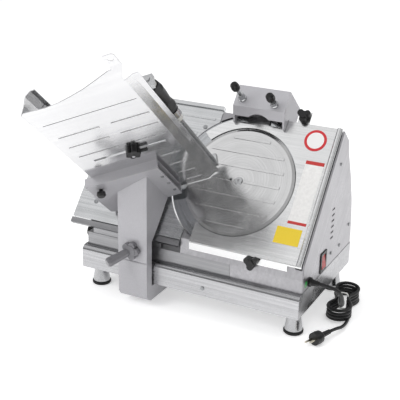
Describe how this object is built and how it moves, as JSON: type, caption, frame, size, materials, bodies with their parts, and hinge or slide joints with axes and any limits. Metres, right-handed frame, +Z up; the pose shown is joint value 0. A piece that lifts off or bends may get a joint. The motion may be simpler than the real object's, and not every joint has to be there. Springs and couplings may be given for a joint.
{
  "type": "deli meat slicer",
  "caption": "Gravity-feed food slicer: inclined round knife under a ribbed cover, sliding ribbed food tray with pusher, gauge plate, sharpener and motor housing on a footed base.",
  "frame": {"origin": "centre of the footprint box at the bottom of the foot pads", "axes": "+X along the carriage travel towards the switch end, +Y from the operator to the back, +Z up"},
  "size_m": [0.6215, 0.6066, 0.6165],
  "materials": {
    "stainless": "brushed",
    "polished": "bright polish",
    "cast_alu": "satin",
    "painted": "satin grey",
    "blade_steel": "ground",
    "steel": "turned",
    "black_plastic": "moulded",
    "rubber": "matt",
    "red_plastic": "gloss",
    "brass": "plated",
    "label": "plain",
    "white_plastic": "moulded"
  },
  "bodies": {
    "frame": {"base_shell": "stainless", "bottom_plate": "stainless", "cover_screws": "steel", "foot_cones": "stainless", "foot_pads": "rubber", "chassis_riser": "stainless", "guard_plate": "polished", "knife_cover": "cast_alu", "cover_draw_rod": "steel", "bearings": "steel", "belt": "rubber", "motor": "painted", "motor_housing": "stainless", "end_panel": "stainless", "gauge_bracket": "painted", "gauge_sill": "stainless", "carriage_rod": "steel", "rod_brackets": "steel", "housing_studs": "steel", "switch_bezel": "black_plastic", "blank_labels": "label", "cord_gland": "black_plastic", "cord": "rubber", "cord_hank": "rubber", "plug": "black_plastic", "plug_pins": "brass"},
    "blade_set": {"blade": "blade_steel", "spindle": "steel", "driven_pulley": "steel"},
    "motor_rotor": {"motor_pulley": "steel"},
    "gauge": {"gauge_plate": "cast_alu", "gauge_screws": "steel", "gauge_top_rail": "cast_alu", "gauge_slide_rods": "steel"},
    "dial": {"dial": "black_plastic"},
    "carriage": {"carriage_block": "painted", "carriage_bushings": "white_plastic"},
    "arm_unit": {"arm": "painted", "lock_stud": "steel", "tray_head": "painted", "head_screws": "steel", "head_knob": "black_plastic", "tray": "polished", "pusher_rod": "steel", "rod_blocks": "steel"},
    "lock_lever": {"lock_lever": "painted"},
    "fence_unit": {"fence": "polished"},
    "fence_knob": {"fence_knob": "black_plastic"},
    "pusher_slider": {"pusher_sleeve": "white_plastic"},
    "pusher": {"pusher_plate": "steel", "pusher_grip": "black_plastic"},
    "sharpener": {"sharpener_case": "painted", "ferrules": "steel"},
    "left_plunger": {"left_plunger": "steel", "left_plunger_knob": "black_plastic"},
    "right_plunger": {"right_plunger": "steel", "right_plunger_knob": "black_plastic"},
    "top_knob": {"top_knob": "black_plastic"},
    "low_knob": {"low_knob": "black_plastic"},
    "switch": {"switch_rocker": "red_plastic"}
  },
  "joints": [
    {"name": "blade_spin", "type": "hinge", "parent": "frame", "child": "blade_set", "pos_m": [0.0727, 0.1058, 0.2736], "axis": [0, -0.7627, 0.6468], "continuous": true},
    {"name": "motor_spin", "type": "hinge", "parent": "frame", "child": "motor_rotor", "pos_m": [0.1827, 0.13216, 0.21191], "axis": [0, -0.7627, 0.6468], "continuous": true},
    {"name": "dial_turn", "type": "hinge", "parent": "frame", "child": "dial", "pos_m": [-0.2447, 0.0383, 0.119], "axis": [-1, 0, 0], "range_deg": [0, 270]},
    {"name": "gauge_slide", "type": "slide", "parent": "frame", "child": "gauge", "axis": [0, 0.7627, -0.6468], "range_m": [0, 0.015]},
    {"name": "carriage_slide", "type": "slide", "parent": "frame", "child": "carriage", "axis": [1, 0, 0], "range_m": [-0.04, 0.2]},
    {"name": "arm_tilt", "type": "hinge", "parent": "carriage", "child": "arm_unit", "pos_m": [-0.1057, -0.0317, 0.10415], "axis": [1, 0, 0], "range_deg": [0, 30]},
    {"name": "lock_turn", "type": "hinge", "parent": "arm_unit", "child": "lock_lever", "pos_m": [-0.1057, -0.0397, 0.134], "axis": [0, -1, 0], "range_deg": [-45, 45]},
    {"name": "fence_slide", "type": "slide", "parent": "arm_unit", "child": "fence_unit", "axis": [0.8918, 0.2926, 0.3451], "range_m": [-0.075, 0]},
    {"name": "fence_knob_turn", "type": "hinge", "parent": "fence_unit", "child": "fence_knob", "pos_m": [-0.06923, -0.08872, 0.37356], "axis": [0.4524, -0.5768, -0.6801], "continuous": true},
    {"name": "pusher_slide", "type": "slide", "parent": "arm_unit", "child": "pusher_slider", "axis": [0, 0.7627, -0.6468], "range_m": [-0.005, 0.185]},
    {"name": "pusher_lift", "type": "hinge", "parent": "pusher_slider", "child": "pusher", "pos_m": [0.01486, -0.10644, 0.48716], "axis": [0, 0.7627, -0.6468], "range_deg": [0, 75]},
    {"name": "sharpener_lift", "type": "slide", "parent": "frame", "child": "sharpener", "axis": [0, 0.6468, 0.7627], "range_m": [0, 0.04]},
    {"name": "left_plunger_press", "type": "slide", "parent": "sharpener", "child": "left_plunger", "axis": [0, 0.7627, -0.6468], "range_m": [0, 0.02], "stiffness_N_per_m": 300, "springref_m": -0.01},
    {"name": "right_plunger_press", "type": "slide", "parent": "sharpener", "child": "right_plunger", "axis": [0, 0.7627, -0.6468], "range_m": [0, 0.007], "stiffness_N_per_m": 300, "springref_m": -0.01},
    {"name": "top_knob_turn", "type": "hinge", "parent": "frame", "child": "top_knob", "pos_m": [0.1707, 0.20554, 0.40667], "axis": [0, -0.7627, 0.6468], "continuous": true},
    {"name": "low_knob_turn", "type": "hinge", "parent": "frame", "child": "low_knob", "pos_m": [0.1543, -0.00545, 0.15176], "axis": [0, -1, 0], "continuous": true},
    {"name": "switch_rock", "type": "hinge", "parent": "frame", "child": "switch", "pos_m": [0.2603, 0.1203, 0.128], "axis": [0, 1, 0], "range_deg": [0, 9]}
  ],
  "couplings": [
    {"joint": "motor_spin", "follows": "blade_spin", "ratio": 4},
    {"joint": "dial_turn", "follows": "gauge_slide", "rad_per_m": 314.16}
  ]
}
